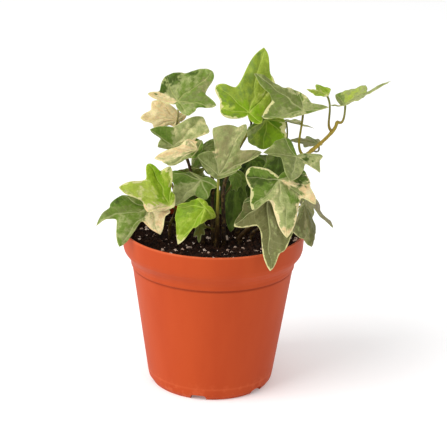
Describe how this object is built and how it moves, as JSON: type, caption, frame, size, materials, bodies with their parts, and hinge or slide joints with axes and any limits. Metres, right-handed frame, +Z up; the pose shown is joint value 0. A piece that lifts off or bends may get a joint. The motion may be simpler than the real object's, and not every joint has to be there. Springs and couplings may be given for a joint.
{
  "type": "potted ivy plant",
  "caption": "Young variegated ivy with lobed green and cream leaves on thin stems, growing in a round tapered terracotta-coloured plastic grow pot filled with potting mix.",
  "frame": {"origin": "centre of the pot's flat base, on the pot's axis", "axes": "+Z up along the pot's axis; -Y is the front, the side to which most leaves turn their upper faces; +X is to the right seen from the front, the side to which the long shoot reaches"},
  "size_m": [0.1647, 0.1112, 0.1957],
  "materials": {
    "pot_plastic": "satin moulded terracotta-coloured plastic",
    "potting_mix": "dark damp peat with white perlite grains",
    "stem_bark": "smooth young stem, olive to light brown",
    "leaf_green": "waxy mid-green leaf with a cream margin",
    "leaf_lime": "fresh yellow-green leaf",
    "leaf_grey_green": "grey-green marbled leaf with a pale margin",
    "leaf_dark": "dark green older leaf",
    "leaf_cream": "cream leaf with olive streaks"
  },
  "bodies": {
    "root": {"pot": "pot_plastic", "soil": "potting_mix", "stem_left_shoot": "stem_bark", "stem_left_tall": "stem_bark", "stem_front_low": "stem_bark", "stem_centre": "stem_bark", "stem_crown": "stem_bark", "stem_front_right": "stem_bark", "stem_right_low": "stem_bark", "stem_vine": "stem_bark", "stem_back_left": "stem_bark", "stem_back_middle": "stem_bark", "stem_back_right": "stem_bark", "leaf_upper_left": "leaf_green", "leaf_cream": "leaf_cream", "leaf_left_tall": "leaf_grey_green", "leaf_left_streaked": "leaf_cream", "leaf_centre_small": "leaf_dark", "leaf_centre": "leaf_grey_green", "leaf_left_bright": "leaf_lime", "leaf_left_low": "leaf_grey_green", "leaf_middle": "leaf_grey_green", "leaf_lime": "leaf_lime", "leaf_low_small": "leaf_dark", "leaf_centre_dark": "leaf_dark", "leaf_front_right": "leaf_grey_green", "leaf_front_low": "leaf_grey_green", "leaf_right_low": "leaf_dark", "leaf_right_narrow": "leaf_grey_green", "leaf_right": "leaf_grey_green", "leaf_crown": "leaf_lime", "leaf_upper_right": "leaf_grey_green", "leaf_under_crown": "leaf_lime", "leaf_flat_upper": "leaf_grey_green", "leaf_flat_lower": "leaf_green", "leaf_tip_small": "leaf_lime", "leaf_tip_right": "leaf_green", "leaf_inner_low": "leaf_dark", "leaf_inner_right": "leaf_dark", "leaf_inner_left": "leaf_dark", "leaf_right_inner": "leaf_dark", "leaf_back_left": "leaf_green", "leaf_back_left_low": "leaf_grey_green", "leaf_back_left_inner": "leaf_lime", "leaf_back_middle": "leaf_grey_green", "leaf_back_middle_low": "leaf_green", "leaf_back_right": "leaf_green", "leaf_back_right_low": "leaf_grey_green", "leaf_back_right_inner": "leaf_lime"}
  },
  "joints": []
}
